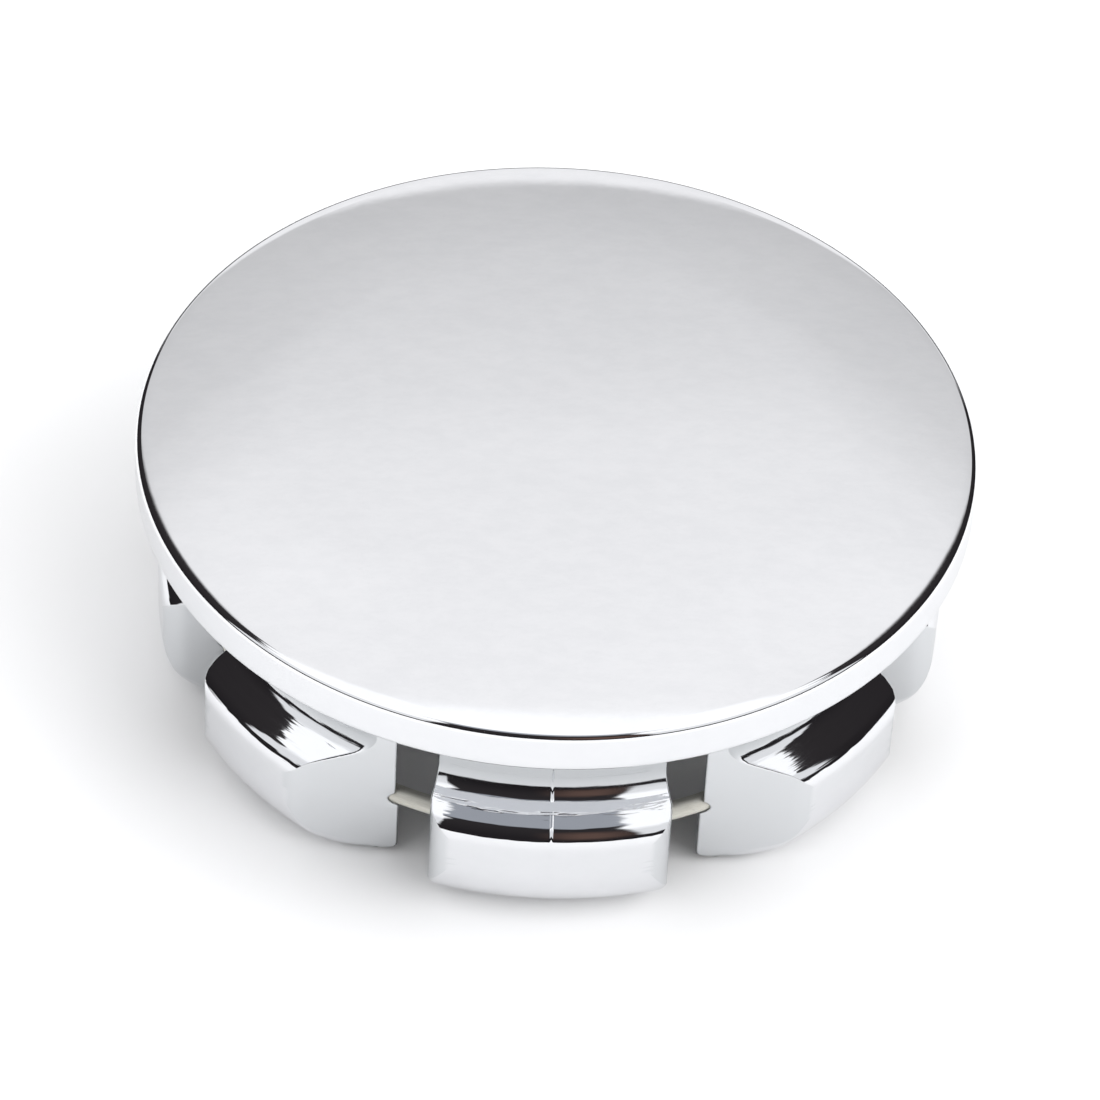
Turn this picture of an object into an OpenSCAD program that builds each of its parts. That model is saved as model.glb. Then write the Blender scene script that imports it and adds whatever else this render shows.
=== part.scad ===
// Snap-in wheel centre cap: a crowned face with a rim, a ring of barbed snap legs under it,
// and a wire ring that springs the legs outwards from a groove on their inside.
// The cap stands on its feet with the face up. The origin is on the floor, on the cap's axis.
// The front leg points towards -Y. Side slides of the mould pull along +X and -X.

/* [Face] */
// Diameter over the rim
rim_d = 63.5; // [62:0.5:80]
// Height of the rim, from the seat under it to its top corner
rim_h = 3.6; // [3.1:0.1:6]
// Thickness of the face at the height of the rim's top corner
face_t = 2.4; // [1.5:0.1:2.5]
// Radius of the rim's top and bottom corners
rim_corner_r = 0.55; // [0.2:0.05:0.7]
// Diameter of the nearly flat middle of the crowned face
crown_core_d = 40; // [20:1:44]
// Slope of the crown where its middle ends, in degrees
crown_core_slope = 1.4; // [1.3:0.1:3]
// Slope of the crown where it meets the rim's corner, in degrees
crown_edge_slope = 7; // [4:0.5:12]

/* [Snap legs] */
// Length of the legs, from the seat down to the feet
leg_len = 18.2; // [17:0.1:24]
// Diameter of the space inside the ring of legs
leg_inner_d = 51.6; // [40:0.1:52]
// Thickness of a leg's flexing neck
neck_t = 0.9; // [0.8:0.05:1.5]
// Height of the barb's overhang: how far it stands out beyond the neck
barb_out = 3.35; // [2.5:0.05:3.8]
// Depth from the seat to the inner end of a barb's shoulder
grip_h = 6.9; // [4:0.1:8]
// Drop of the shoulder from the neck to the barb's top corner
shoulder_drop = 2.1; // [1:0.1:2.5]
// Radius of the barb's top corner
barb_corner_r = 2; // [0.5:0.1:2.5]
// Radius between the neck and the shoulder
neck_fillet_r = 2; // [0.5:0.1:2.5]
// Radius of the rounded nose that leads the barb into the wheel
nose_r = 5.4; // [4.4:0.1:6]
// Size of the chamfer on the foot's inner edge
foot_chamfer = 0.3; // [0.1:0.05:0.6]
// Width of the flat foot, between its chamfer and the nose
foot_w = 0.3; // [0.1:0.05:0.6]
// Width of the slots beside the front and back legs, on the inside of the ring
slot_w = 3.4; // [2:0.1:5]
// Angle from the front leg's middle to the middle of the slots beside it, in degrees
slot_turn = 22.1; // [20:0.1:24]
// Width of the slots beside the two side legs, on the inside of the ring
side_slot_w = 5.1; // [2:0.1:7]
// Angle from the front leg's middle to the middle of the slots beside the side legs, in degrees
side_slot_turn = 68.3; // [66:0.1:70]
// Radius of a barb's upright corners
barb_side_r = 2; // [0.5:0.1:2.5]
// Radius between the inside of the legs and the underside of the face
root_fillet_r = 0.5; // [0.2:0.05:0.6]

/* [Retaining ring] */
// Diameter of the wire
wire_d = 1.4; // [1:0.1:1.7]
// Height of the wire's middle above the feet
wire_z = 6.1; // [4:0.1:7.5]
// Depth that the wire sinks into the inside of the legs
wire_sink = 0.2; // [0.15:0.05:0.4]
// Step inwards of the ledge that carries the wire
ledge_step = 0.12; // [0.05:0.01:0.4]
// Clearance between the wire and its groove
wire_clear = 0.05; // [0.03:0.01:0.1]
// Gap between the wire's two ends, along the ring
wire_gap = 4; // [2:0.5:8]

/* [Hidden] */
$fn = 96;

// The middles of the slots round the ring of legs. Each leg stands between two that follow.
slot_turns = [-slot_turn, slot_turn, side_slot_turn, 180 - side_slot_turn, 180 - slot_turn,
              180 + slot_turn, 180 + side_slot_turn, 360 - side_slot_turn, 360 - slot_turn];

rim_r = rim_d / 2;
leg_inner_r = leg_inner_d / 2;
neck_r = leg_inner_r + neck_t;
barb_r = neck_r + barb_out;
ledge_r = leg_inner_r - ledge_step;

seat_z = leg_len;
rim_top_z = seat_z + rim_h;
rim_side_z = rim_top_z - rim_corner_r;
face_under_z = rim_top_z - face_t;
shoulder_z = seat_z - grip_h;
barb_top_z = shoulder_z - shoulder_drop;
shoulder_angle = atan2(shoulder_drop, barb_out);
foot_outer_r = ledge_r + foot_chamfer + foot_w;
nose_z = sqrt(pow(nose_r, 2) - pow(foot_outer_r - (barb_r - nose_r), 2));

// The crown is two arcs that meet at one slope, and the outer one runs into the rim's corner.
// Each arc is sunk a hair below the next, so that they cross at one point instead of touching.
// The very middle is a flat spot that is too small to see.
core_r = crown_core_d / 2;
crown_flat_r = 1;
crown_sink = 0.002;
crown_end_r = rim_r - rim_corner_r * (1 - sin(crown_edge_slope));
core_arc_r = core_r / sin(crown_core_slope);
edge_arc_r = (crown_end_r - core_r) / (sin(crown_edge_slope) - sin(crown_core_slope));
crown_end_z = rim_side_z + rim_corner_r * cos(crown_edge_slope) - crown_sink;
edge_arc_x = core_r - edge_arc_r * sin(crown_core_slope);
edge_arc_z = crown_end_z - edge_arc_r * cos(crown_edge_slope);
core_arc_z = edge_arc_z + (edge_arc_r - core_arc_r) * cos(crown_core_slope) - crown_sink;
crown_z = core_arc_z + sqrt(pow(core_arc_r, 2) - pow(crown_flat_r, 2));

wire_r = wire_d / 2;
wire_ring_r = leg_inner_r + wire_sink - wire_r;
groove_r = wire_r + wire_clear;
wire_gap_angle = wire_gap / wire_ring_r * 180 / PI;

// How far a cut runs past the surface that it opens, how far joined solids overlap, and how much
// larger a rounding's circle is than its radius, so that it crosses the lines that it would touch
past = 1;
joined = 0.3;
proud = 0.0005;

function unit(v) = v / norm(v);

// The point of the plan at this radius, turned by this angle from the front
function around(r, turn) = r * [sin(turn), -cos(turn)];

// Half of a slot as an angle, for the slot whose middle is turned by this angle from the front
function slot_half_angle(turn) =
    asin((abs(cos(turn)) > abs(sin(turn)) ? slot_w : side_slot_w) / 2 / leg_inner_r);

// A rectangle between two opposite corners
module box2(low, high) {
    translate(low) square(high - low);
}

// The circle of a rounding
module round_at(centre, r) {
    translate(centre) circle(r + proud);
}

// Section of the face and the rim: the crown's two arcs, the rim's two rounded corners, and the
// fillet between the face's underside and the legs
module face_section() {
    corner_x = rim_r - rim_corner_r;
    intersection() {
        translate([0, core_arc_z]) circle(core_arc_r, $fn = 720);
        box2([0, face_under_z], [core_r, crown_z]);
    }
    difference() {
        union() {
            intersection() {
                translate([edge_arc_x, edge_arc_z]) circle(edge_arc_r, $fn = 720);
                box2([edge_arc_x, face_under_z], [rim_r, crown_z + past]);
            }
            box2([leg_inner_r, seat_z], [rim_r, rim_side_z]);
        }
        difference() {
            box2([crown_end_r, rim_side_z], [rim_r + past, crown_z + 2 * past]);
            round_at([corner_x, rim_side_z], rim_corner_r);
        }
        difference() {
            box2([corner_x, seat_z - past], [rim_r + past, seat_z + rim_corner_r]);
            round_at([corner_x, seat_z + rim_corner_r], rim_corner_r);
        }
    }
    root = [leg_inner_r - root_fillet_r, face_under_z - root_fillet_r];
    difference() {
        box2(root, [leg_inner_r + joined, face_under_z + joined]);
        round_at(root, root_fillet_r);
    }
}

// What rounding takes off the barb's top corner, between its shoulder and its upright face
module barb_corner_waste() {
    r = barb_corner_r;
    up = [sin(shoulder_angle), cos(shoulder_angle)];
    centre = [barb_r - r, barb_top_z + r * tan(shoulder_angle) - r / cos(shoulder_angle)];
    difference() {
        polygon([centre, centre + up * (r + past), [barb_r + past, barb_top_z + past],
                 [barb_r + past, centre.y]]);
        round_at(centre, r);
    }
}

// The fillet that fills the corner between the neck and the shoulder
module neck_fillet() {
    r = neck_fillet_r;
    up = [sin(shoulder_angle), cos(shoulder_angle)];
    centre = [neck_r + r, shoulder_z - r * tan(shoulder_angle) + r / cos(shoulder_angle)];
    difference() {
        polygon([centre, [neck_r - joined, centre.y], [neck_r - joined, shoulder_z - joined],
                 centre - up * (r + joined)]);
        round_at(centre, r);
    }
}

// Section of a leg: neck, barb with its rounded nose, flat foot, and the ledge and groove of the wire
module leg_section() {
    nose_centre = [barb_r - nose_r, nose_z];
    difference() {
        union() {
            box2([leg_inner_r, shoulder_z - joined], [neck_r, seat_z + joined]);
            polygon([[leg_inner_r, 0], [barb_r, 0], [barb_r, barb_top_z], [neck_r, shoulder_z],
                     [leg_inner_r, shoulder_z]]);
            neck_fillet();
            box2([ledge_r, 0], [leg_inner_r + joined, wire_z]);
        }
        barb_corner_waste();
        difference() {
            box2([nose_centre.x, -past], [barb_r + past, nose_z]);
            round_at(nose_centre, nose_r);
        }
        polygon([[ledge_r - past, -past], [ledge_r + foot_chamfer + past, -past],
                 [ledge_r - past, foot_chamfer + past]]);
        translate([wire_ring_r, wire_z]) circle(groove_r);
    }
}

// Plan of what lies past one end of a leg. turn is the end's angle from the front, and side is
// 1 or -1, the way the end faces. An end that would face away from its slide's pull is cut
// along the pull instead, and each end runs into the barb with an upright rounded corner.
module leg_end_waste(turn, side) {
    along_pull = side * sin(turn) * cos(turn) < 0;
    line_angle = along_pull ? (sin(turn) > 0 ? 0 : 180) : turn - 90;
    line_y = along_pull ? leg_inner_r * abs(cos(turn)) : 0;
    centre_y = line_y - barb_side_r;
    centre = [sqrt(pow(barb_r - barb_side_r, 2) - pow(centre_y, 2)), centre_y];
    reach = 2 * barb_r;
    rotate(line_angle) scale([1, side]) {
        box2([0, line_y], [reach, reach]);
        difference() {
            polygon([centre, centre + unit(centre) * reach, centre + [0, reach]]);
            round_at(centre, barb_side_r);
        }
    }
}

// Plan of the leg between two slots, whose middles are turned by these angles from the front
module leg_plan(start, end) {
    near = ledge_r - past;
    far = (barb_r + past) / cos((end - start) / 2);
    difference() {
        polygon([around(near, start), around(far, start), around(far, end), around(near, end)]);
        leg_end_waste(start + slot_half_angle(start), -1);
        leg_end_waste(end - slot_half_angle(end), 1);
    }
}

module cap() {
    color([0.90, 0.91, 0.93]) union() {
        rotate_extrude() face_section();
        intersection() {
            rotate_extrude() leg_section();
            translate([0, 0, -past]) linear_extrude(seat_z + 2 * past)
                for (i = [1 : len(slot_turns) - 1]) leg_plan(slot_turns[i - 1], slot_turns[i]);
        }
    }
}

// The open wire ring, with its gap behind the back leg
module retaining_ring() {
    color([0.62, 0.61, 0.57])
        rotate(90 + wire_gap_angle / 2)
            rotate_extrude(angle = 360 - wire_gap_angle)
                translate([wire_ring_r, wire_z]) circle(wire_r);
}

cap();
retaining_ring();
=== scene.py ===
from math import acos, asin, atan2, cos, degrees, pi, radians, sin, sqrt, tan

import bmesh
import bpy
import numpy as np
from mathutils import Matrix, Vector


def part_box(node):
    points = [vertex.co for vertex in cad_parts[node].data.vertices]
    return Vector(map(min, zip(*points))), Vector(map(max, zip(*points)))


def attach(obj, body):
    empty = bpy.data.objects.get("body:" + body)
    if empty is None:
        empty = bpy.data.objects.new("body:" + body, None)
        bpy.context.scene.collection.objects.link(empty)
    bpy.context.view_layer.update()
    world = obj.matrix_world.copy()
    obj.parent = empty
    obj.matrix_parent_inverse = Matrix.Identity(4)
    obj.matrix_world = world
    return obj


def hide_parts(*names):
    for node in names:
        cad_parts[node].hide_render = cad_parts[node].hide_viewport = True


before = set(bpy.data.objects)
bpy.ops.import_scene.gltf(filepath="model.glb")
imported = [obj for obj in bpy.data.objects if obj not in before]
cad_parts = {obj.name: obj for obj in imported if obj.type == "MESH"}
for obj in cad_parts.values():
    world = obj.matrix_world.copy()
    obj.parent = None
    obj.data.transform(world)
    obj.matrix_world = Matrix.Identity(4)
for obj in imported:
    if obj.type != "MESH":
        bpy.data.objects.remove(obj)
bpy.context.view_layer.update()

# The looks of a snap-in wheel centre cap: mirror chrome on the moulded cap, drawn steel on its
# wire ring, on a white studio floor. Sizes are in millimetres until a mesh is made.

MM = 0.001
CAP_LOW, CAP_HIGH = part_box("cap")
WIRE_LOW, WIRE_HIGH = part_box("retaining_ring")

# Sizes of the moulding
RIM_R = (CAP_HIGH.x - CAP_LOW.x) / 2 / MM
RIM_H = 3.6
RIM_CORNER_R = 0.55
FACE_T = 2.4
CROWN_CORE_R = 20
CROWN_CORE_SLOPE = radians(1.4)
CROWN_EDGE_SLOPE = radians(7)
ROOT_FILLET_R = 0.5
LEG_LEN = 18.2
LEG_INNER_R = 25.8
NECK_T = 0.9
NECK_FILLET_R = 2
BARB_OUT = 3.35
BARB_CORNER_R = 2
BARB_SIDE_R = 2
GRIP_H = 6.9
SHOULDER_DROP = 2.1
NOSE_R = 5.4
FOOT_CHAMFER = 0.3
FOOT_W = 0.3
LEDGE_STEP = 0.12
SLOT_W = 3.4
SIDE_SLOT_W = 5.1
SLOT_TURN = 22.1
SIDE_SLOT_TURN = 68.3

# Sizes of the wire ring
WIRE_R = (WIRE_HIGH.z - WIRE_LOW.z) / 2 / MM
WIRE_Z = (WIRE_HIGH.z + WIRE_LOW.z) / 2 / MM
WIRE_RING_R = (WIRE_HIGH.x - WIRE_LOW.x) / 2 / MM - WIRE_R
WIRE_CLEAR = 0.05
WIRE_GAP = 4

# Finish that the mould leaves: the round on each leg's end edges, which grows to a larger one on
# the nose and starts from nothing at the barb's face, the rounded lower corners of those ends,
# and the seam where the side slides meet
END_ROUND = 0.15
NOSE_ROUND = 0.8
ROUND_DEPTH = 1.8
FOOT_CORNER_R = 1.4
SEAM_HALF_W = 0.1
SEAM_RISE = 0.07

# How far the legs run up into the rim
LEG_SUNK = 0.3

# Facets: the columns across a leg, those across the fill of its end, the points round its end
# edge in degrees, the least height of a row, and the angle from which an edge stays sharp
LEG_COLUMNS = 23
END_COLUMNS = 12
EDGE_LIFTS = (90, 72, 54, 36, 18)
LEAST_ROW_H = 0.04
SHARP_ANGLE = radians(40)

RIM_TOP_Z = LEG_LEN + RIM_H
RIM_SIDE_Z = RIM_TOP_Z - RIM_CORNER_R
FACE_UNDER_Z = RIM_TOP_Z - FACE_T
NECK_R = LEG_INNER_R + NECK_T
BARB_R = NECK_R + BARB_OUT
LEDGE_R = LEG_INNER_R - LEDGE_STEP
GROOVE_R = WIRE_R + WIRE_CLEAR
SHOULDER_Z = LEG_LEN - GRIP_H
BARB_TOP_Z = SHOULDER_Z - SHOULDER_DROP
SHOULDER_ANGLE = atan2(SHOULDER_DROP, BARB_R - NECK_R)
NOSE_Z = sqrt(NOSE_R ** 2 - (LEDGE_R + FOOT_CHAMFER + FOOT_W - BARB_R + NOSE_R) ** 2)
LEG_TOP_Z = LEG_LEN + LEG_SUNK

# The middles of the slots, turned from the front. Each leg stands between two that follow.
SLOT_TURNS = [radians(turn) for turn in (
    -SLOT_TURN, SLOT_TURN, SIDE_SLOT_TURN, 180 - SIDE_SLOT_TURN, 180 - SLOT_TURN,
    180 + SLOT_TURN, 180 + SIDE_SLOT_TURN, 360 - SIDE_SLOT_TURN, 360 - SLOT_TURN)]

# The camera: its distance from the rim's centre and the angles at which it stands round it, how
# the picture is turned, and where the rim's centre falls in the frame of this many pixels
CAMERA_DISTANCE = 444.5
CAMERA_ELEVATION = radians(42.61)
CAMERA_TURN = radians(2.44)
CAMERA_ROLL = radians(3.35)
FOCAL_PIXELS = 5900.6
FRAME_PIXELS = 1100
RIM_CENTRE_PIXEL = (557.4, 436.2)
SENSOR_MM = 36

# Tones of the chrome: the two that its mottle runs between, and those of its places darkened as
# painted shade
CHROME_DARKER = (0.878, 0.884, 0.900, 1)
CHROME_BRIGHTER = (0.932, 0.936, 0.950, 1)
CHROME_SIDE_SHADE = (0.74, 0.75, 0.77, 1)
CHROME_SATIN_SHADE = (0.745, 0.76, 0.775, 1)
CHROME_NECK_SHADE = (0.53, 0.545, 0.56, 1)
CHROME_SHADE_UNDER_RIM = (0.62, 0.635, 0.66, 1)
CHROME_INSIDE_SHADE = (0.13, 0.13, 0.135, 1)

# Tones of the wire: the two that its drawn lines run between, and that of its spots
WIRE_DARKER = (0.62, 0.605, 0.54, 1)
WIRE_BRIGHTER = (0.80, 0.785, 0.72, 1)
WIRE_SPOTS = (0.33, 0.30, 0.25, 1)

# The floor: its size, the two tones that it runs between, and the tone that the chrome mirrors
FLOOR_R = 4000
FLOOR_DARKER = (0.90, 0.90, 0.902, 1)
FLOOR_BRIGHTER = (0.915, 0.915, 0.916, 1)
FLOOR_MIRRORED = (0.825, 0.825, 0.827, 1)

# Tones of the studio: the dark room, a brown patch and a pale band in it, the soft boxes, and
# what lies below the horizon or is seen by the camera
ROOM_LOW = (0.018, 0.016, 0.018, 1)
ROOM_HIGH = (0.030, 0.027, 0.029, 1)
BROWN_PATCH = (0.12, 0.075, 0.062, 1)
ABOVE_CAMERA = (0.36, 0.38, 0.42, 1)
SIDE_BOX_LOW = (0.86, 0.87, 0.89, 1)
SIDE_BOX_HIGH = (1.2, 1.21, 1.23, 1)
OVERHEAD_BOX = (1.12, 1.13, 1.15, 1)
BELOW_HORIZON = (0.95, 0.95, 0.95, 1)
BACKDROP = (1, 1, 1, 1)

# Tones of the wall behind the cap, by height in degrees
WALL_TONES = [(0, 0.12), (18, 0.16), (22.5, 0.90), (27.6, 0.94), (28.6, 0.59), (38, 0.69),
              (41, 0.79), (43, 0.87), (47, 0.93), (56, 0.95), (60, 1.0)]

# The fill light, which only matt surfaces see: the way to its middle, right of the cap, the
# cosine of the angle from it where the light starts to rise, and its strength out there and at
# the middle
FILL_WAY = (0.890, -0.340, 0.305)
FILL_EDGE = 0.66
FILL_AROUND = 0.72
FILL_MIDDLE = 3.8


def arc(centre, radius, start, end, count):
    """Points on an arc of a section, from one angle to another in degrees."""
    turns = np.radians(np.linspace(start, end, count))
    return [(centre[0] + radius * cos(t), centre[1] + radius * sin(t)) for t in turns]


def new_object(name, data):
    """An object of a mesh or a camera, placed in the scene."""
    obj = bpy.data.objects.new(name, data)
    bpy.context.scene.collection.objects.link(obj)
    return obj


def finish_mesh(bm, name, sharp_angle):
    """Welds, orients and smooths a mesh in millimetres, and returns its object in metres."""
    bmesh.ops.remove_doubles(bm, verts=bm.verts, dist=1e-5)
    bmesh.ops.dissolve_degenerate(bm, edges=bm.edges, dist=1e-5)
    bmesh.ops.recalc_face_normals(bm, faces=bm.faces)
    bmesh.ops.scale(bm, vec=(MM, MM, MM), verts=bm.verts)
    mesh = bpy.data.meshes.new(name)
    bm.to_mesh(mesh)
    bm.free()
    mesh.shade_smooth()
    mesh.set_sharp_from_angle(angle=sharp_angle)
    return new_object(name, mesh)


def add_grid(bm, points, wrap_rows=False, wrap_cols=False):
    """Adds quads over a grid of points, and returns the grid of its vertices."""
    grid = [[bm.verts.new(p) for p in row] for row in points]
    rows, cols = len(grid), len(grid[0])
    for i in range(rows if wrap_rows else rows - 1):
        for j in range(cols if wrap_cols else cols - 1):
            corners = [grid[i][j], grid[i][(j + 1) % cols],
                       grid[(i + 1) % rows][(j + 1) % cols], grid[(i + 1) % rows][j]]
            bm.faces.new(corners)
    return grid


# The face and its rim, turned about the cap's axis

def face_profile():
    """Section of the face and rim, from the middle of the crown round to the middle underneath."""
    end_r = RIM_R - RIM_CORNER_R * (1 - sin(CROWN_EDGE_SLOPE))
    end_z = RIM_SIDE_Z + RIM_CORNER_R * cos(CROWN_EDGE_SLOPE)
    core_arc_r = CROWN_CORE_R / sin(CROWN_CORE_SLOPE)
    edge_arc_r = (end_r - CROWN_CORE_R) / (sin(CROWN_EDGE_SLOPE) - sin(CROWN_CORE_SLOPE))
    edge_x = CROWN_CORE_R - edge_arc_r * sin(CROWN_CORE_SLOPE)
    edge_z = end_z - edge_arc_r * cos(CROWN_EDGE_SLOPE)
    core_z = edge_z + (edge_arc_r - core_arc_r) * cos(CROWN_CORE_SLOPE)
    core_end = 90 - degrees(CROWN_CORE_SLOPE)
    edge_end = 90 - degrees(CROWN_EDGE_SLOPE)
    corner = (RIM_R - RIM_CORNER_R, RIM_SIDE_Z)
    low_corner = (RIM_R - RIM_CORNER_R, LEG_LEN + RIM_CORNER_R)
    root = (LEG_INNER_R - ROOT_FILLET_R, FACE_UNDER_Z - ROOT_FILLET_R)
    return (arc((0, core_z), core_arc_r, 90, core_end, 16)
            + arc((edge_x, edge_z), edge_arc_r, core_end, edge_end, 18)[1:]
            + arc(corner, RIM_CORNER_R, edge_end, 0, 14)[1:]
            + [(RIM_R, z) for z in np.linspace(RIM_SIDE_Z, low_corner[1], 6)[1:-1]]
            + arc(low_corner, RIM_CORNER_R, 0, -90, 9)
            + [(r, LEG_LEN) for r in (30, 28.5, NECK_R, LEG_INNER_R)]
            + arc(root, ROOT_FILLET_R, 0, 90, 6)
            + [(r, FACE_UNDER_Z) for r in (22, 15, 8, 0)])


def add_face(bm, turns=288):
    """Turns the section of the face and rim, with a fan of triangles at each pole."""
    profile = face_profile()
    angles = [2 * pi * k / turns for k in range(turns)]
    ring = [[(r * cos(a), r * sin(a), z) for a in angles] for r, z in profile[1:-1]]
    grid = add_grid(bm, ring, wrap_cols=True)
    for (_, z), row in ((profile[0], grid[0]), (profile[-1], grid[-1])):
        pole = bm.verts.new((0, 0, z))
        for k in range(turns):
            bm.faces.new([pole, row[k], row[(k + 1) % turns]])


# The legs: one section, carried round the axis between two ends

BARB_CORNER = (BARB_R - BARB_CORNER_R,
               BARB_TOP_Z + BARB_CORNER_R * (tan(SHOULDER_ANGLE) - 1 / cos(SHOULDER_ANGLE)))
NECK_CORNER = (NECK_R + NECK_FILLET_R,
               SHOULDER_Z - NECK_FILLET_R * (tan(SHOULDER_ANGLE) - 1 / cos(SHOULDER_ANGLE)))
SLOPE_LOW_Z = BARB_CORNER[1] + BARB_CORNER_R * cos(SHOULDER_ANGLE)
SLOPE_HIGH_Z = NECK_CORNER[1] - NECK_FILLET_R * cos(SHOULDER_ANGLE)
GROOVE_HALF_H = sqrt(GROOVE_R ** 2 - (LEG_INNER_R - WIRE_RING_R) ** 2)
LEDGE_HALF_H = sqrt(GROOVE_R ** 2 - (LEDGE_R - WIRE_RING_R) ** 2)


def outer_radius(z):
    """Radius of a leg's outside at a height: nose, barb, its top corner, shoulder, fillet, neck."""
    if z < NOSE_Z:
        return BARB_R - NOSE_R + sqrt(NOSE_R ** 2 - (NOSE_Z - z) ** 2)
    if z < BARB_CORNER[1]:
        return BARB_R
    if z < SLOPE_LOW_Z:
        return BARB_CORNER[0] + sqrt(BARB_CORNER_R ** 2 - (z - BARB_CORNER[1]) ** 2)
    if z < SLOPE_HIGH_Z:
        return BARB_R - (z - BARB_TOP_Z) / tan(SHOULDER_ANGLE)
    if z < NECK_CORNER[1]:
        return NECK_CORNER[0] - sqrt(NECK_FILLET_R ** 2 - (z - NECK_CORNER[1]) ** 2)
    return NECK_R


def inner_radius(z):
    """Radius of a leg's inside at a height: foot's chamfer, ledge, wire groove, inner wall."""
    if z < FOOT_CHAMFER:
        return LEDGE_R + FOOT_CHAMFER - z
    if z < WIRE_Z - LEDGE_HALF_H:
        return LEDGE_R
    if z < WIRE_Z + GROOVE_HALF_H:
        return WIRE_RING_R + sqrt(GROOVE_R ** 2 - (z - WIRE_Z) ** 2)
    return LEG_INNER_R


def section_levels():
    """Heights of the rows of a leg's section, close together where it curves."""
    nose = [NOSE_Z - NOSE_R * sin(t) for t in np.linspace(asin(NOSE_Z / NOSE_R), 0, 19)]
    corner = [BARB_CORNER[1] + BARB_CORNER_R * sin(t)
              for t in np.linspace(0, pi / 2 - SHOULDER_ANGLE, 13)]
    fillet = [NECK_CORNER[1] - NECK_FILLET_R * sin(t)
              for t in np.linspace(pi / 2 - SHOULDER_ANGLE, 0, 13)]
    low = asin(LEDGE_HALF_H / GROOVE_R)
    high = asin(GROOVE_HALF_H / GROOVE_R)
    groove = [WIRE_Z + GROOVE_R * sin(t) for t in np.linspace(-low, high, 10)]
    rest = [FOOT_CHAMFER, 2, 3.4, 7.6, (SLOPE_LOW_Z + SLOPE_HIGH_Z) / 2, 13.5, 15.5, 17.2, LEG_TOP_Z]
    levels = sorted(nose + corner + fillet + groove + rest)
    kept = [levels[0]]
    for z in levels[1:]:
        if z - kept[-1] > LEAST_ROW_H:
            kept.append(z)
    return kept


def leg_loop():
    """The section's closed loop of (radius, height): down the inside, then up the outside."""
    levels = section_levels()
    inside = [(inner_radius(z), z) for z in reversed(levels)]
    return np.array(inside + [(outer_radius(z), z) for z in levels])


def inward_steps(loop):
    """For each point of the loop, the step into the section that insets it by 1 mm."""
    before = loop - np.roll(loop, 1, axis=0)
    after = np.roll(loop, -1, axis=0) - loop
    normals = []
    for edge in (before, after):
        length = np.linalg.norm(edge, axis=1, keepdims=True)
        normals.append(np.stack([-edge[:, 1], edge[:, 0]], axis=1) / length)
    share = 1 + (normals[0] * normals[1]).sum(axis=1, keepdims=True)
    return (normals[0] + normals[1]) / share


def slot_half_angle(turn):
    """Half of a slot as an angle, for the slot whose middle is turned by this from the front."""
    width = SLOT_W if abs(cos(turn)) > abs(sin(turn)) else SIDE_SLOT_W
    return asin(width / 2 / LEG_INNER_R)


def end_direction(turn, side, radius, inset):
    """Direction from the axis, in radians, of a leg's end at a radius. turn is the end's angle
    from the front, and side is 1 or -1. An end against the slides' pull is cut along X. The
    upright corner at the barb is an arc. inset is a distance back from the end's surface."""
    along_pull = side * sin(turn) * cos(turn) < 0
    base = turn - pi / 2
    line = 0
    if along_pull:
        base = 0 if sin(turn) > 0 else pi
        line = LEG_INNER_R * abs(cos(turn))
    centre_y = line - BARB_SIDE_R
    centre_x = sqrt((BARB_R - BARB_SIDE_R) ** 2 - centre_y ** 2)
    y = line - inset
    if radius ** 2 - y ** 2 <= centre_x ** 2:
        local = atan2(y, sqrt(radius ** 2 - y ** 2))
    else:
        reach = BARB_R - BARB_SIDE_R
        share = (reach ** 2 + radius ** 2 - (BARB_SIDE_R - inset) ** 2) / (2 * reach * radius)
        local = atan2(centre_y, centre_x) + acos(min(1, share))
    return base + side * local


def foot_back(z):
    """How far a leg's end stands back near the floor, where its lower corner is rounded."""
    rise = max(0, FOOT_CORNER_R - z)
    return FOOT_CORNER_R - sqrt(FOOT_CORNER_R ** 2 - rise ** 2)


def end_rounds(loop):
    """The round on a leg's end edge at each point of the loop, larger on the nose and growing
    smoothly from nothing at the barb's face."""
    depth = np.clip((BARB_R - loop[:, 0]) / ROUND_DEPTH, 0, 1)
    outside = np.arange(len(loop)) >= len(loop) // 2
    nose = outside * np.clip((NOSE_Z - loop[:, 1]) / (NOSE_Z - FOOT_CORNER_R), 0, 1)
    size = END_ROUND + (NOSE_ROUND - END_ROUND) * nose
    return size * depth * depth * (3 - 2 * depth)


def across(turn, direction):
    """The same direction, measured from the middle of a leg and kept within half a turn."""
    return (direction - (turn - pi / 2) + pi) % (2 * pi) - pi


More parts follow.
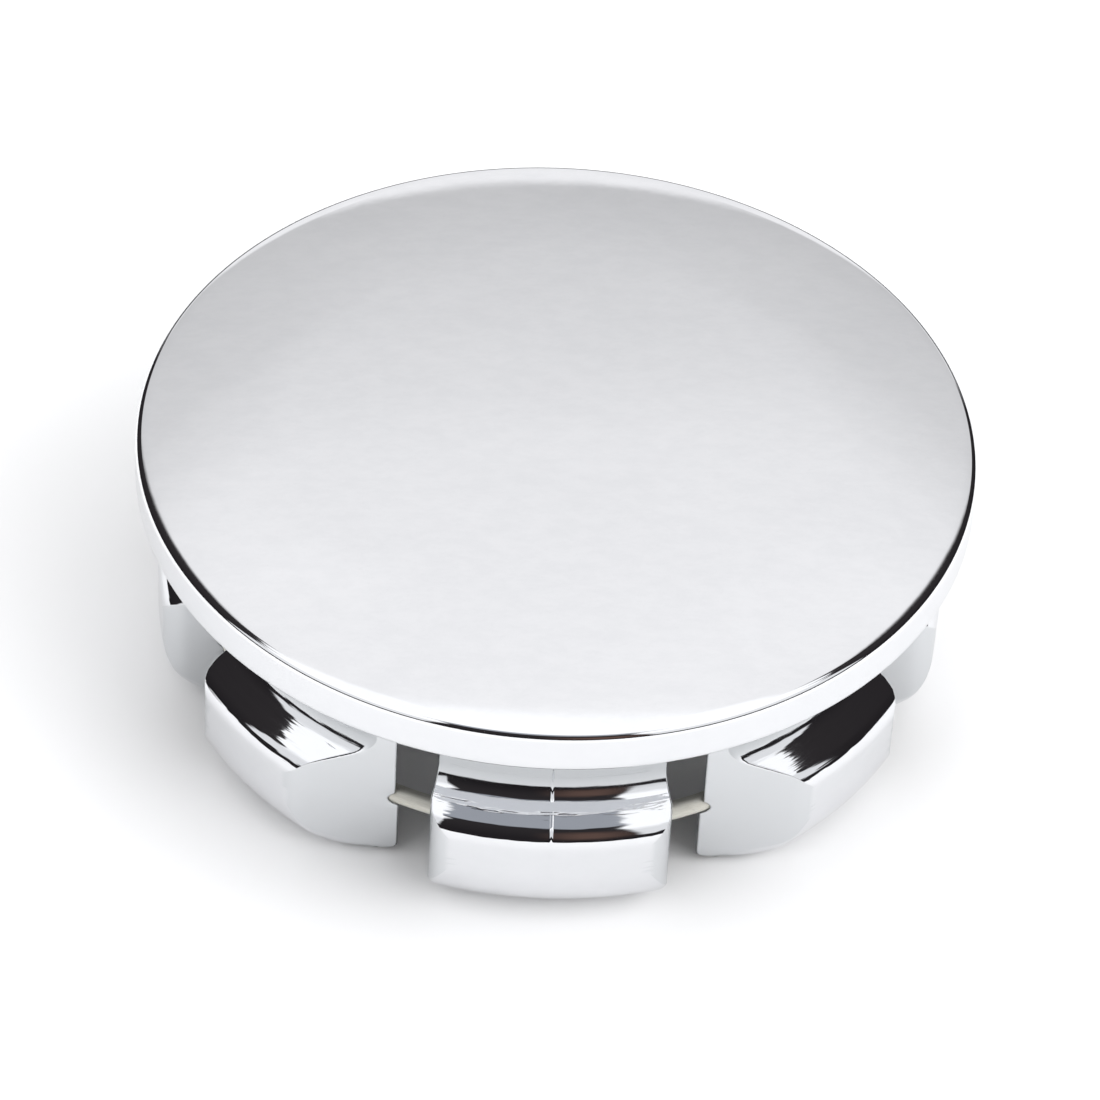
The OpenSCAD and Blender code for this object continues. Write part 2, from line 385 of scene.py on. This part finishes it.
def add_leg(bm, start, end, seam):
    """The leg between two slots, whose middles are turned by these angles from the front."""
    ends = [(start + slot_half_angle(start), -1), (end - slot_half_angle(end), 1)]
    turn = (start + end) / 2
    loop = leg_loop()
    steps = inward_steps(loop)
    count = len(loop)
    rounds = end_rounds(loop)

    def station(i, lift, leg_end):
        """One point of the rounded edge: lift goes from 0 on the leg's side to 90 on its end."""
        inset = rounds[i] * (1 - cos(radians(lift)))
        r, z = loop[i] + steps[i] * inset
        back = rounds[i] * (1 - sin(radians(lift))) + foot_back(z)
        return r, z, across(turn, end_direction(leg_end[0], leg_end[1], r, back))

    middle = list(np.linspace(0, 1, LEG_COLUMNS))
    if seam:
        half = LEG_COLUMNS // 2
        seam_columns = [0.5 + k * SEAM_SHARE for k in (-2, -1, 0, 1, 2)]
        middle = sorted(middle[:half] + middle[half + 1:] + seam_columns)
    rows = []
    for i in range(count):
        low = station(i, 0, ends[0])
        high = station(i, 0, ends[1])
        row = [station(i, lift, ends[0]) for lift in EDGE_LIFTS]
        for share in middle:
            r = low[0]
            if seam and i >= count // 2 and abs(share - 0.5) < SEAM_SHARE / 2:
                r += SEAM_RISE
            row.append((r, low[1], low[2] + share * (high[2] - low[2])))
        row += [station(i, lift, ends[1]) for lift in reversed(EDGE_LIFTS)]
        rows.append(row)
    base = turn - pi / 2
    points = [[(r * cos(base + a), r * sin(base + a), z) for r, z, a in row] for row in rows]
    grid = add_grid(bm, points, wrap_rows=True)
    for column, end in ((0, ends[0]), (-1, ends[1])):
        add_leg_end(bm, grid, rows, column, end, base, turn)


def add_leg_end(bm, grid, rows, column, end, base, turn):
    """Fills the end of a leg between the inside and the outside of its section, and marks it for
    the satin finish and the painted shade on its tone. Its columns lie closer together towards the
    outside."""
    count = len(grid)
    satin_and_shade = bm.verts.layers.float["satin_and_shade"]
    fractions = [sin(radians(90 * k / (END_COLUMNS - 1))) for k in range(END_COLUMNS)]
    lines = []
    for level in range(count // 2):
        inner, outer = count // 2 - 1 - level, count // 2 + level
        r0, z0, _ = rows[inner][column]
        r1, z1, _ = rows[outer][column]
        line = [grid[inner][column]]
        for f in fractions[1:-1]:
            r, z = r0 + f * (r1 - r0), z0 + f * (z1 - z0)
            a = base + across(turn, end_direction(end[0], end[1], r, foot_back(z)))
            line.append(bm.verts.new((r * cos(a), r * sin(a), z)))
        line.append(grid[outer][column])
        for vert in line:
            vert[satin_and_shade] = 1
        lines.append(line)
    for low, high in zip(lines, lines[1:]):
        for k in range(len(low) - 1):
            bm.faces.new([low[k], low[k + 1], high[k + 1], high[k]])


# Half of the seam's width as a share of the front leg's width at its neck, and the legs that
# carry the seam: the front one and the back one
SEAM_SHARE = SEAM_HALF_W / (NECK_R * 2 * (SLOT_TURNS[1] - slot_half_angle(SLOT_TURNS[1])))
SEAM_LEGS = (0, 4)


def make_cap():
    """The whole moulding: the face with its rim, and the legs, which run up into it."""
    bm = bmesh.new()
    bm.verts.layers.float.new("satin_and_shade")
    add_face(bm)
    for i, (start, end) in enumerate(zip(SLOT_TURNS, SLOT_TURNS[1:])):
        add_leg(bm, start, end, seam=i in SEAM_LEGS)
    return finish_mesh(bm, "chrome_cap", SHARP_ANGLE)


def make_wire(sides=28, turns=360, end_round=0.18):
    """The open wire ring, with its gap at the back and a small round on its cut ends."""
    gap = WIRE_GAP / WIRE_RING_R
    start, end = pi / 2 + gap / 2, pi / 2 - gap / 2 + 2 * pi
    step = 0.3 * end_round
    stations = [(start, WIRE_R - end_round), (start + step / WIRE_RING_R, WIRE_R - step)]
    for k in range(turns + 1):
        share = k / turns
        low, high = start + end_round / WIRE_RING_R, end - end_round / WIRE_RING_R
        stations.append((low + share * (high - low), WIRE_R))
    stations += [(end - step / WIRE_RING_R, WIRE_R - step), (end, WIRE_R - end_round)]
    bm = bmesh.new()
    rows = []
    for angle, radius in stations:
        row = []
        for s in range(sides):
            t = 2 * pi * s / sides
            r = WIRE_RING_R + radius * cos(t)
            row.append((r * cos(angle), r * sin(angle), WIRE_Z + radius * sin(t)))
        rows.append(row)
    grid = add_grid(bm, rows, wrap_cols=True)
    bm.faces.new(grid[0])
    bm.faces.new(grid[-1])
    return finish_mesh(bm, "steel_wire_ring", SHARP_ANGLE)


# Materials

class Nodes:
    """Short calls for building a node tree."""

    def __init__(self, tree):
        self.tree = tree
        tree.nodes.clear()

    def add(self, kind, inputs=None, **settings):
        node = self.tree.nodes.new(kind)
        for key, value in settings.items():
            setattr(node, key, value)
        for key, value in (inputs or {}).items():
            socket = node.inputs[key]
            if isinstance(value, bpy.types.NodeSocket):
                self.tree.links.new(value, socket)
            else:
                socket.default_value = value
        return node

    def math(self, operation, a, b=0.0):
        return self.add("ShaderNodeMath", {0: a, 1: b}, operation=operation).outputs[0]

    def ramp(self, value, low, high, to_low=0.0, to_high=1.0):
        return self.add("ShaderNodeMapRange", {"Value": value, "From Min": low, "From Max": high,
                                               "To Min": to_low, "To Max": to_high},
                        interpolation_type="SMOOTHSTEP").outputs["Result"]

    def axis_distance(self, x, y):
        """Distance from the cap's axis."""
        squares = self.math("ADD", self.math("MULTIPLY", x, x), self.math("MULTIPLY", y, y))
        return self.math("SQRT", squares)

    def noise(self, vector, scale, detail=3.0, roughness=0.5):
        return self.add("ShaderNodeTexNoise", {"Vector": vector, "Scale": scale, "Detail": detail,
                                               "Roughness": roughness}).outputs["Fac"]

    def tones(self, value, stops):
        """A grey tone that runs through (value, tone) stops."""
        low, high = stops[0][0], stops[-1][0]
        share = self.math("DIVIDE", self.math("SUBTRACT", value, low), high - low)
        node = self.add("ShaderNodeValToRGB", {"Fac": share})
        elements = node.color_ramp.elements
        elements.remove(elements[-1])
        for k, (at, tone) in enumerate(stops):
            element = elements[0] if k == 0 else elements.new((at - low) / (high - low))
            element.color = (tone, tone, tone * 1.015, 1)
        return node.outputs["Color"]

    def mix(self, share, a, b):
        """A mix of two colours or sockets of colour."""
        node = self.add("ShaderNodeMix", data_type="RGBA")
        for socket, value in ((node.inputs[0], share), (node.inputs[6], a), (node.inputs[7], b)):
            if isinstance(value, bpy.types.NodeSocket):
                self.tree.links.new(value, socket)
            else:
                socket.default_value = value
        return node.outputs[2]


def material(name):
    mat = bpy.data.materials.new(name)
    mat.use_nodes = True
    nodes = Nodes(mat.node_tree)
    shader = nodes.add("ShaderNodeBsdfPrincipled")
    output = nodes.add("ShaderNodeOutputMaterial")
    mat.node_tree.links.new(shader.outputs[0], output.inputs[0])
    return mat, nodes, shader


def chrome_material():
    """Bright chrome: a mirror with a faint mottle, wavy along the legs' barbs where the mould was
    turned, and satin on the legs' ends, which are also darkened as painted shade. Painted shade dims
    it a little below the rim's top corner, more so on the necks and under the rim, and makes it dark
    inside the cap."""
    mat, n, shader = material("chrome_plating")
    link = mat.node_tree.links.new
    place = n.add("ShaderNodeTexCoord").outputs["Object"]
    x, y, z = n.add("ShaderNodeSeparateXYZ", {0: place}).outputs
    radius = n.axis_distance(x, y)

    def fade(value, none, full):
        """A mask that goes from 0 at one size in millimetres to 1 at another."""
        return n.ramp(value, none * MM, full * MM)

    # Painted shade: the rim's underside is darkened
    shade_under_rim = n.math("MULTIPLY", fade(z, LEG_LEN + 0.06, LEG_LEN + 0.02),
                       fade(z, LEG_LEN - 0.06, LEG_LEN - 0.02))
    # Painted shade: the inside of the cap is made dark; it is also rougher
    inside = n.math("MULTIPLY", fade(radius, LEG_INNER_R + 0.05, LEG_INNER_R - 0.05),
                    fade(z, FACE_UNDER_Z + 0.1, FACE_UNDER_Z - 0.1))
    below_rim = fade(z, LEG_LEN + 0.02, LEG_LEN - 0.1)
    leg_end = n.add("ShaderNodeAttribute", attribute_name="satin_and_shade").outputs["Fac"]
    # Painted shade: the necks below the rim are darkened
    neck = n.math("MULTIPLY", below_rim, fade(radius, NECK_R + 0.5, NECK_R + 0.02))
    neck = n.math("MULTIPLY", neck, n.math("SUBTRACT", 1.0, leg_end))
    satin_and_shade = n.math("MAXIMUM", leg_end, n.math("MULTIPLY", neck, 0.5))

    stretched = n.add("ShaderNodeVectorMath", {0: place, 1: (0.55, 1.0, 1.0)},
                      operation="MULTIPLY").outputs[0]
    mottle = n.noise(stretched, 750, 4.0, 0.7)
    cloud = n.noise(stretched, 110, 2.0, 0.5)
    tone = n.math("ADD", n.math("MULTIPLY", n.ramp(mottle, 0.3, 0.7), 0.6),
                  n.math("MULTIPLY", n.ramp(cloud, 0.3, 0.7), 0.4))
    colour = n.mix(tone, CHROME_DARKER, CHROME_BRIGHTER)
    # Painted shade: everything below the rim's top corner is dimmed halfway towards a darker tone
    side = fade(z, RIM_SIDE_Z + 0.1, RIM_SIDE_Z - 0.1)
    colour = n.mix(n.math("MULTIPLY", side, 0.5), colour, CHROME_SIDE_SHADE)
    # The legs' ends are satin and rougher; their darker tone is painted shade
    colour = n.mix(satin_and_shade, colour, CHROME_SATIN_SHADE)
    colour = n.mix(neck, colour, CHROME_NECK_SHADE)
    colour = n.mix(shade_under_rim, colour, CHROME_SHADE_UNDER_RIM)
    link(n.mix(inside, colour, CHROME_INSIDE_SHADE), shader.inputs["Base Color"])
    shader.inputs["Metallic"].default_value = 1
    rough = n.ramp(n.noise(place, 60, 2.0, 0.5), 0.35, 0.7, 0.03, 0.055)
    rough = n.math("ADD", rough, n.math("MULTIPLY", satin_and_shade, 0.2))
    link(n.math("ADD", rough, n.math("MULTIPLY", inside, 0.22)), shader.inputs["Roughness"])

    along = n.math("ARCTAN2", y, x)
    turned = n.add("ShaderNodeCombineXYZ", {0: n.math("MULTIPLY", along, 0.0035), 1: radius,
                                            2: z}).outputs[0]
    from_middle = n.math("ABSOLUTE", x)
    strength = n.math("MULTIPLY", below_rim, n.ramp(from_middle, 6 * MM, 13 * MM, 3.5, 9.0))
    waves = n.math("MULTIPLY", n.noise(turned, 1900, 2.0, 0.55), strength)
    ripple = n.math("MULTIPLY", n.noise(place, 420, 2.0, 0.5), 0.8)
    grain = n.math("MULTIPLY", n.noise(place, 2600, 2.0, 0.5), n.math("MAXIMUM", satin_and_shade, inside))
    bumps = n.math("ADD", n.math("ADD", ripple, waves), grain)
    bump = n.add("ShaderNodeBump", {"Height": bumps, "Strength": 1.0, "Distance": 0.003 * MM})
    link(bump.outputs[0], shader.inputs["Normal"])
    return mat


def wire_material():
    """Drawn spring steel: warm grey, with fine lines along the wire and a few darker spots."""
    mat, n, shader = material("spring_wire")
    link = mat.node_tree.links.new
    place = n.add("ShaderNodeTexCoord").outputs["Object"]
    x, y, z = n.add("ShaderNodeSeparateXYZ", {0: place}).outputs
    radius = n.axis_distance(x, y)
    along = n.math("ARCTAN2", y, x)
    section = n.math("ARCTAN2", n.math("SUBTRACT", z, WIRE_Z * MM),
                     n.math("SUBTRACT", radius, WIRE_RING_R * MM))
    drawn = n.add("ShaderNodeCombineXYZ", {0: n.math("MULTIPLY", along, 3.0),
                                           1: n.math("MULTIPLY", section, 2.2)}).outputs[0]
    lines = n.noise(drawn, 9, 5.0, 0.65)
    spots = n.noise(place, 900, 3.0, 0.6)
    steel = n.mix(n.ramp(lines, 0.3, 0.7), WIRE_DARKER, WIRE_BRIGHTER)
    spotted = n.mix(n.ramp(spots, 0.62, 0.75, 0.0, 0.5), steel, WIRE_SPOTS)
    link(spotted, shader.inputs["Base Color"])
    shader.inputs["Metallic"].default_value = 0.75
    link(n.ramp(lines, 0.3, 0.7, 0.48, 0.6), shader.inputs["Roughness"])
    bump = n.add("ShaderNodeBump", {"Height": lines, "Strength": 0.35, "Distance": 0.01 * MM})
    link(bump.outputs[0], shader.inputs["Normal"])
    return mat


def floor_material():
    """A matt white floor, which is a little darker where the chrome mirrors it."""
    mat, n, shader = material("studio_floor")
    link = mat.node_tree.links.new
    place = n.add("ShaderNodeTexCoord").outputs["Object"]
    cloud = n.noise(place, 12, 2.0, 0.5)
    white = n.mix(cloud, FLOOR_DARKER, FLOOR_BRIGHTER)
    mirrored = n.add("ShaderNodeLightPath").outputs["Is Glossy Ray"]
    link(n.mix(mirrored, white, FLOOR_MIRRORED), shader.inputs["Base Color"])
    shader.inputs["Roughness"].default_value = 0.85
    shader.inputs["Specular IOR Level"].default_value = 0.2
    return mat


# The studio

def studio_light():
    """A dark studio with soft boxes, as chrome is lit: one overhead, one at each side of the
    camera, a pale band above the camera, and a grey wall behind the cap, which the face mirrors.
    Heights above the horizon and turns from the back or the front are in degrees."""
    world = bpy.data.worlds.new("studio")
    bpy.context.scene.world = world
    world.use_nodes = True
    n = Nodes(world.node_tree)
    way = n.add("ShaderNodeTexCoord").outputs["Generated"]
    x, y, z = n.add("ShaderNodeSeparateXYZ", {0: way}).outputs
    height = n.math("DEGREES", n.math("ARCSINE", z))
    turn = degrees(CAMERA_TURN)
    back = n.math("SUBTRACT", n.math("DEGREES", n.math("ARCTAN2", x, y)), turn)
    front = n.math("ADD", n.math("DEGREES", n.math("ARCTAN2", x, n.math("MULTIPLY", y, -1.0))), turn)
    from_back = n.math("ABSOLUTE", back)
    from_front = n.math("ABSOLUTE", front)

    def within(value, low, high, soft):
        """A mask that is 1 between two values, with soft edges."""
        return n.math("MULTIPLY", n.ramp(value, low - soft, low + soft),
                      n.ramp(value, high + soft, high - soft))

    light = n.mix(n.ramp(height, 0, 60), ROOM_LOW, ROOM_HIGH)

    def lay(share, tone):
        """Lays a tone over the light so far, where its share is 1."""
        nonlocal light
        light = n.mix(share, light, tone)

    brown = n.math("MULTIPLY", within(front, 6, 24, 8), within(height, 14, 40, 8))
    lay(brown, BROWN_PATCH)
    above_camera = n.math("MULTIPLY", n.ramp(from_front, 42, 34), within(height, 59, 80, 2))
    lay(above_camera, ABOVE_CAMERA)

    # The wall is wider low down, and its tones lean to one side and sink towards both
    wall_half = n.ramp(height, 18, 30, 30.0, 21.0)
    wall = n.math("MULTIPLY", n.ramp(n.math("SUBTRACT", from_back, wall_half), 0.8, -0.8),
                  n.ramp(height, 62, 60))
    sunk = n.math("MULTIPLY", n.math("MULTIPLY", back, back), 0.0075)
    leaning = n.math("SUBTRACT", n.math("MULTIPLY", back, 0.07), sunk)
    lay(wall, n.tones(n.math("ADD", height, leaning), WALL_TONES))

    # The side boxes start and end further round the higher they are, and are dimmer low down
    side_end = n.ramp(height, 44, 52, 82.0, 95.0)
    side_start = n.ramp(height, 50, 64, 27.0, 36.0)
    sides = n.math("MULTIPLY", n.ramp(n.math("SUBTRACT", from_front, side_start), -1.5, 1.5),
                   n.ramp(n.math("SUBTRACT", from_front, side_end), 1.0, -1.0))
    sides = n.math("MULTIPLY", sides, within(height, 14, 68, 1.5))
    lay(sides, n.mix(n.ramp(height, 36, 50), SIDE_BOX_LOW, SIDE_BOX_HIGH))

    # The overhead box is a level rectangle with its far corners cut, measured in shares of its
    # height above the cap
    steep = n.math("MAXIMUM", z, 0.01)
    over_x = n.math("ABSOLUTE", n.math("DIVIDE", x, steep))
    over_y = n.math("DIVIDE", y, steep)
    overhead = n.math("MULTIPLY", within(over_y, -0.23, 0.632, 0.015), n.ramp(over_x, 0.66, 0.6))
    far_corners = n.math("ADD", over_y, n.math("MULTIPLY", over_x, 1.05))
    overhead = n.math("MULTIPLY", overhead, n.ramp(far_corners, 0.85, 0.82))
    lay(overhead, OVERHEAD_BOX)
    lay(n.ramp(height, 0.2, -0.2), BELOW_HORIZON)

    # The fill reaches the floor but isn't mirrored, and the camera sees a plain backdrop
    rays = n.add("ShaderNodeLightPath").outputs
    toward_fill = n.add("ShaderNodeVectorMath", {0: way, 1: FILL_WAY}, operation="DOT_PRODUCT")
    fill = n.ramp(toward_fill.outputs["Value"], FILL_EDGE, 1.0, FILL_AROUND, FILL_MIDDLE)
    fill = n.math("MULTIPLY", fill, rays["Is Diffuse Ray"])
    light = n.add("ShaderNodeVectorMath", {0: light, 1: fill}, operation="ADD").outputs[0]
    lay(rays["Is Camera Ray"], BACKDROP)
    background = n.add("ShaderNodeBackground", {"Color": light, "Strength": 1.0})
    output = n.add("ShaderNodeOutputWorld")
    n.tree.links.new(background.outputs[0], output.inputs[0])


def make_floor():
    bm = bmesh.new()
    bmesh.ops.create_circle(bm, cap_ends=True, segments=64, radius=FLOOR_R * MM)
    mesh = bpy.data.meshes.new("studio_floor")
    bm.to_mesh(mesh)
    bm.free()
    floor = new_object("studio_floor", mesh)
    floor.data.materials.append(floor_material())


def make_camera():
    """Stands where the photograph was taken from, and is aimed so that the rim's centre falls on
    its pixel of the frame."""
    toward = Vector((-cos(CAMERA_ELEVATION) * sin(CAMERA_TURN),
                     -cos(CAMERA_ELEVATION) * cos(CAMERA_TURN), sin(CAMERA_ELEVATION)))
    target = Vector((0, 0, RIM_TOP_Z))
    place = target + toward * CAMERA_DISTANCE
    level = toward.cross(Vector((0, 0, -1))).normalized()
    upright = toward.cross(level)
    right = cos(CAMERA_ROLL) * level + sin(CAMERA_ROLL) * upright
    up = cos(CAMERA_ROLL) * upright - sin(CAMERA_ROLL) * level
    scale = CAMERA_DISTANCE / FOCAL_PIXELS
    middle = FRAME_PIXELS / 2
    aim = (target - right * (RIM_CENTRE_PIXEL[0] - middle) * scale
           - up * (middle - RIM_CENTRE_PIXEL[1]) * scale)
    back = (place - aim).normalized()
    right = up.cross(back).normalized()
    up = back.cross(right)
    data = bpy.data.cameras.new("camera")
    data.sensor_width = SENSOR_MM
    data.lens = FOCAL_PIXELS / FRAME_PIXELS * SENSOR_MM
    data.clip_start = 0.01
    camera = new_object("camera", data)
    turn = Matrix((right, up, back)).transposed().to_4x4()
    camera.matrix_world = Matrix.Translation(place * MM) @ turn
    bpy.context.scene.camera = camera


make_camera()
studio_light()
make_floor()

cap = make_cap()
cap.data.materials.append(chrome_material())
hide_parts("cap")
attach(cap, "root")

wire = make_wire()
wire.data.materials.append(wire_material())
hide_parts("retaining_ring")
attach(wire, "root")

bpy.context.scene.view_settings.view_transform = "Standard"
